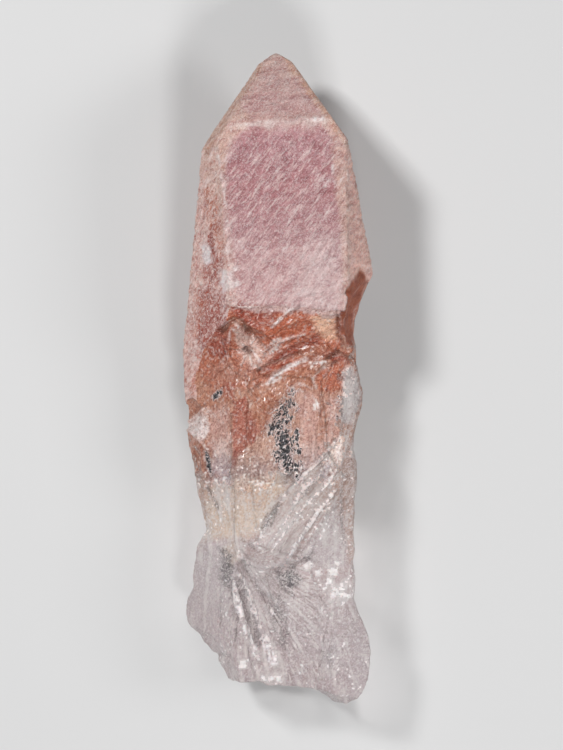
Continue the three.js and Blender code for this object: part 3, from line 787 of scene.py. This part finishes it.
# Painted highlights along the crests of the streaks and hillocks, and painted shade beside them.
crest_highlights = maths(tree, "MAXIMUM", fit(tree, streaks, 0.54, 0.70, 0.0, 0.50),
                   fit(tree, hillocks, 0.52, 0.68, 0.0, 0.66))
ridged = maths(tree, "MULTIPLY", attribute(tree, "ridged"), covered)
lit_crests = mix(tree, maths(tree, "MULTIPLY", crest_highlights, ridged), frosty, (0.88, 0.70, 0.68))
shadowed = maths(tree, "MULTIPLY", fit(tree, hillocks, 0.48, 0.38, 0.0, 0.50), ridged)
lit_and_shaded_crests = mix(tree, shadowed, lit_crests, mix(tree, 1.0, lit_crests, BETWEEN_CRESTS, "MULTIPLY"))
grained = use_group(tree, fine_grain, Tone=lit_and_shaded_crests, Pale=maths(tree, "MULTIPLY", covered, 0.42),
                    Deep=grain_shade)
connect(tree, grained["Color"], surface["Base Color"])
connect(tree, fit(tree, grained["Height"], 0.5, 0.9, 0.55, 0.35), surface["Roughness"])
slanted = maths(tree, "MULTIPLY_ADD", streaks, 1.5, maths(tree, "MULTIPLY", hillocks, 3.4))
relief = maths(tree, "MULTIPLY_ADD", slanted, ridged, grained["Height"])
connect(tree, bump(tree, relief, 0.30), surface["Normal"])
surface["Subsurface Weight"].default_value = 0.2
surface["Subsurface Radius"].default_value = (1.0, 0.45, 0.4)
surface["Subsurface Scale"].default_value = 1.5 * MM
surface["IOR"].default_value = QUARTZ_INDEX

# The face of a break: fine ribs that run out from where it began, with grain over them, each rib
# painted lit on its crest and in shade in its trough. Stained and clear stretches share it, so one
# passes into the other.
broken_face, given, result = new_group("broken_face", GRAIN_INPUTS, GRAIN_OUTPUTS)
passed_on = {name: given[name] for name, kind, value in GRAIN_INPUTS}
rib_vector = attribute(broken_face, "rib_place", "Vector")
ribs = grain(broken_face, (0.34, 3.2, 2.0), detail=3, roughness=0.65, place=rib_vector)
broad_ribs = grain(broken_face, (1.1, 7.0, 4.0), detail=3, roughness=0.6, place=rib_vector)
patches = grain(broken_face, (3.2, 2.4, 2.4), detail=3, roughness=0.6)
ribbing = fit(broken_face, patches, 0.40, 0.58, 0.20, 1.0)
ribbing = maths(broken_face, "MULTIPLY", ribbing, attribute(broken_face, "ribbed"))
grained = use_group(broken_face, fine_grain, **passed_on)
lit = maths(broken_face, "MULTIPLY", fit(broken_face, ribs, 0.53, 0.63, 0.0, 0.9), ribbing)
rib_share = attribute(broken_face, "ribbed")
broad_light = fit(broken_face, broad_ribs, 0.56, 0.70, 0.0, 0.55)
lit = maths(broken_face, "MAXIMUM", lit, maths(broken_face, "MULTIPLY", broad_light, rib_share))
lit = maths(broken_face, "MULTIPLY", lit, given["Pale"])
shade = maths(broken_face, "MULTIPLY", fit(broken_face, ribs, 0.47, 0.36, 0.0, 0.8), ribbing)
broad_shade = fit(broken_face, broad_ribs, 0.45, 0.30, 0.0, 0.7)
shade = maths(broken_face, "MAXIMUM", shade, maths(broken_face, "MULTIPLY", broad_shade, rib_share))
shade = maths(broken_face, "MULTIPLY", shade, given["Deep"])
shadow_tone = mix(broken_face, 1.0, grained["Color"], given["Dim"], "MULTIPLY")
shaded = mix(broken_face, shade, grained["Color"], shadow_tone)
connect(broken_face, mix(broken_face, lit, shaded, given["Glint"]), result["Color"])
rib_height = maths(broken_face, "MULTIPLY", maths(broken_face, "MULTIPLY", ribs, ribbing), 0.9)
broad_height = maths(broken_face, "MULTIPLY", broad_ribs, rib_share)
rib_height = maths(broken_face, "MULTIPLY_ADD", broad_height, 1.6, rib_height)
whole_height = maths(broken_face, "MULTIPLY_ADD", grained["Height"], 0.7, rib_height)
connect(broken_face, whole_height, result["Height"])


def chipped(tree):
    """The small chips that a break leaves all over its face."""
    return grain(tree, (0.9, 0.6, 0.9), 60, detail=4, roughness=0.65, warp=0.8)


# Stained breaks: quartz clouded by iron and by tiny cracks round the top of the break, rust and
# tea-brown, under a glassy surface of small chips.
stained_quartz, tree, surface = new_material("stained_quartz")
inner = attribute(tree, "inner_tone", "Color")
crusted = attribute(tree, "crust")
stained_grain_shade = maths(tree, "MULTIPLY_ADD", crusted, -0.6, 0.70)
spots = grain(tree, (0.56, 0.38, 0.5), 70, detail=2, roughness=0.5, warp=0.9)
# The dark windows are painted near-black on a darker painted ground, for the dark seen through the clear
# quartz there.
darkened = attribute(tree, "dark")
opened = maths(tree, "MULTIPLY_ADD", darkened, -0.42, spots)
window = fit(tree, opened, 0.20, 0.14)
rim = maths(tree, "MULTIPLY", fit(tree, opened, 0.18, 0.21), fit(tree, opened, 0.28, 0.24, 0.0, 0.9))
ground = mix(tree, maths(tree, "MULTIPLY", darkened, 0.55), inner, (0.28, 0.20, 0.20))
with_painted_windows = mix(tree, window, mix(tree, rim, ground, (0.92, 0.88, 0.89)), (0.004, 0.004, 0.008))
warm = fit(tree, attribute(tree, "grainy"), 0.6, 0.85)
glint = mix(tree, warm, (0.92, 0.88, 0.88), (0.92, 0.64, 0.52))
glint = mix(tree, window, glint, (0.95, 0.93, 0.95))
broken = use_group(tree, broken_face, Tone=with_painted_windows, Pale=maths(tree, "MULTIPLY_ADD", window, -0.15, 0.33),
                   Deep=stained_grain_shade, Glint=glint, Dim=(0.42, 0.22, 0.18))
connect(tree, broken["Color"], surface["Base Color"])
chips = chipped(tree)
clouded = maths(tree, "SUBTRACT", 1.0, window)
worn = fit(tree, chips, 0.35, 0.7, 0.24, 0.42)
connect(tree, maths(tree, "MULTIPLY_ADD", worn, clouded, 0.07), surface["Roughness"])
connect(tree, maths(tree, "MULTIPLY", clouded, 0.25), surface["Coat Weight"])
connect(tree, bump(tree, maths(tree, "ADD", chips, broken["Height"]), 0.34), surface["Normal"])
surface["Subsurface Weight"].default_value = 0.15
surface["Subsurface Radius"].default_value = (1.0, 0.40, 0.3)
surface["Subsurface Scale"].default_value = 1.0 * MM
surface["Coat Roughness"].default_value = 0.10
surface["Coat IOR"].default_value = QUARTZ_INDEX
surface["IOR"].default_value = QUARTZ_INDEX

# Glassy breaks: clear quartz, see-through, with rust, peach and milk inside it. Fine ribs and
# grains of the break get painted highlights and painted shade, and the dark windows, where it is
# clear right through, are painted near-black for the dark seen through them.
glassy, tree, surface = new_material("clear_quartz")
mottle = grain(tree, (0.55, 0.28, 0.6), 78, detail=4, roughness=0.75, warp=0.5)
openings = grain(tree, (2.2, 1.2, 1.6), 70, detail=2)
veils = grain(tree, (3.0, 1.1, 2.0), 50, detail=5, roughness=0.7, warp=1.2)
inner = attribute(tree, "inner_tone", "Color")
veiled = mix(tree, fit(tree, veils, 0.52, 0.70, 0.0, 0.35), inner, (0.84, 0.76, 0.74))
# Painted highlight on the raised hackle ribs.
lit_hackle = mix(tree, fit(tree, attribute(tree, "hackle"), 0.56, 0.80, 0.0, 0.6), veiled, (0.92, 0.88, 0.87))
holes = maths(tree, "ADD", mottle, maths(tree, "MULTIPLY", openings, 0.7))
# The dark windows are painted near-black, for the dark seen through the clear quartz.
window = maths(tree, "MULTIPLY", attribute(tree, "dark"), fit(tree, holes, 0.98, 0.88))
with_painted_windows = mix(tree, window, lit_hackle, (0.02, 0.02, 0.03))
grain_shade = maths(tree, "MULTIPLY", attribute(tree, "grainy"), 0.55)
broken = use_group(tree, broken_face, Tone=with_painted_windows, Pale=0.85, Deep=grain_shade, Dim=(0.52, 0.42, 0.42))
connect(tree, broken["Color"], surface["Base Color"])
connect(tree, fit(tree, mottle, 0.35, 0.7, 0.02, 0.15), surface["Roughness"])
chips = chipped(tree)
connect(tree, bump(tree, maths(tree, "ADD", chips, broken["Height"]), 0.36), surface["Normal"])
surface["Transmission Weight"].default_value = 0.45
ray = tree.nodes.new("ShaderNodeLightPath").outputs
lets_through = maths(tree, "MULTIPLY_ADD", ray["Is Shadow Ray"], -0.7, 1.0)  # lamps light it inside
connect(tree, lets_through, surface["Alpha"])
surface["IOR"].default_value = QUARTZ_INDEX
inside = tree.nodes.new("ShaderNodeVolumeAbsorption")
inside.inputs["Color"].default_value = (0.90, 0.78, 0.74, 1)
inside.inputs["Density"].default_value = 8.0
tree.links.new(inside.outputs["Volume"], tree.nodes["Material Output"].inputs["Volume"])

# Which surface each face of the mesh has: frosted skin on the growth faces, stained quartz where
# the iron is, and clear quartz elsewhere. They pass into each other in specks, not at a line.
FOOT_TOP = -7.0  # below this height no growth face is frosted, apart from the back
corners = np.empty(len(body.data.loops), dtype=np.int64)
body.data.loops.foreach_get("vertex_index", corners)
starts = np.empty(len(body.data.polygons), dtype=np.int64)
body.data.polygons.foreach_get("loop_start", starts)
sizes = np.diff(np.append(starts, len(corners)))
frost = skin * smoothstep(FOOT_TOP - 2, FOOT_TOP + 2, points[:, 1] + 1.5 * wander)
frost = np.maximum(frost, smoothstep(15, 16, points[:, 1]))
frost = np.maximum(frost, 0.9 * notch)
frost = np.maximum(frost, smoothstep(-0.6, -0.8, normals[:, 2]))  # the back is frosted all the way
speckle = 0.45 * noise_at(points / 0.45 + 30, 2) + 0.35 * noise_at(points / 1.4 + 80, 2)
kind = np.full(len(starts), 2)
kind[np.add.reduceat((stained + speckle)[corners], starts) / sizes >= 0.5] = 1
kind[np.add.reduceat(frost[corners], starts) / sizes >= 0.5] = 0
body.data.materials.append(frosted)
body.data.materials.append(stained_quartz)
body.data.materials.append(glassy)
body.data.polygons.foreach_set("material_index", kind.astype(np.int32))
body.data.polygons.foreach_set("use_smooth", np.ones(len(starts), dtype=bool))
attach(body, "root")
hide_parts("crystal")

# The table and the light: a plain pale table, a soft box at the upper left, a larger and weaker
# one at the right, a third one beyond the foot, and an even grey room.
bpy.ops.mesh.primitive_plane_add(size=3.0, location=(middle.x, middle.y, cad_box[0].z))
table = bpy.context.object
table.name = "table"
paper, tree, surface = new_material("pale_table")
surface["Base Color"].default_value = (0.58, 0.58, 0.58, 1)
surface["Roughness"].default_value = 0.7
table.data.materials.append(paper)


def soft_light(name, place, power, size):
    lamp = bpy.data.lights.new(name, "AREA")
    lamp.energy = power
    lamp.size = size
    made = bpy.data.objects.new(name, lamp)
    made.location = place
    made.rotation_euler = (Vector(middle) - Vector(place)).to_track_quat("-Z", "Y").to_euler()
    bpy.context.scene.collection.objects.link(made)


soft_light("key_light", (-0.27, 0.22, 0.46), 2.4, 0.09)
soft_light("right_light", (0.40, 0.02, 0.34), 0.85, 0.18)
soft_light("foot_light", (0.10, -0.34, 0.42), 1.3, 0.10)
room = bpy.data.worlds.new("room")
room.use_nodes = True
room.node_tree.nodes["Background"].inputs["Color"].default_value = (0.80, 0.80, 0.82, 1)
room.node_tree.nodes["Background"].inputs["Strength"].default_value = 0.16
bpy.context.scene.world = room
bpy.context.scene.view_settings.view_transform = "Standard"

# The camera looks straight down on the crystal, from far enough off to flatten it as in the photo.
camera_data = bpy.data.cameras.new("camera")
camera_data.lens = LENS
camera_data.sensor_width = SENSOR
camera_data.sensor_fit = "VERTICAL"
camera_data.sensor_height = SENSOR
camera = bpy.data.objects.new("camera", camera_data)
bpy.context.scene.collection.objects.link(camera)
offset_x = (PHOTO_WIDTH / 2 - PHOTO_MIDDLE[0]) * MM_PER_PIXEL * MM
offset_y = (PHOTO_MIDDLE[1] - PHOTO_HEIGHT / 2) * MM_PER_PIXEL * MM
camera.location = (middle.x + offset_x, middle.y + offset_y, middle.z + CAMERA_DISTANCE * MM)
bpy.context.scene.camera = camera
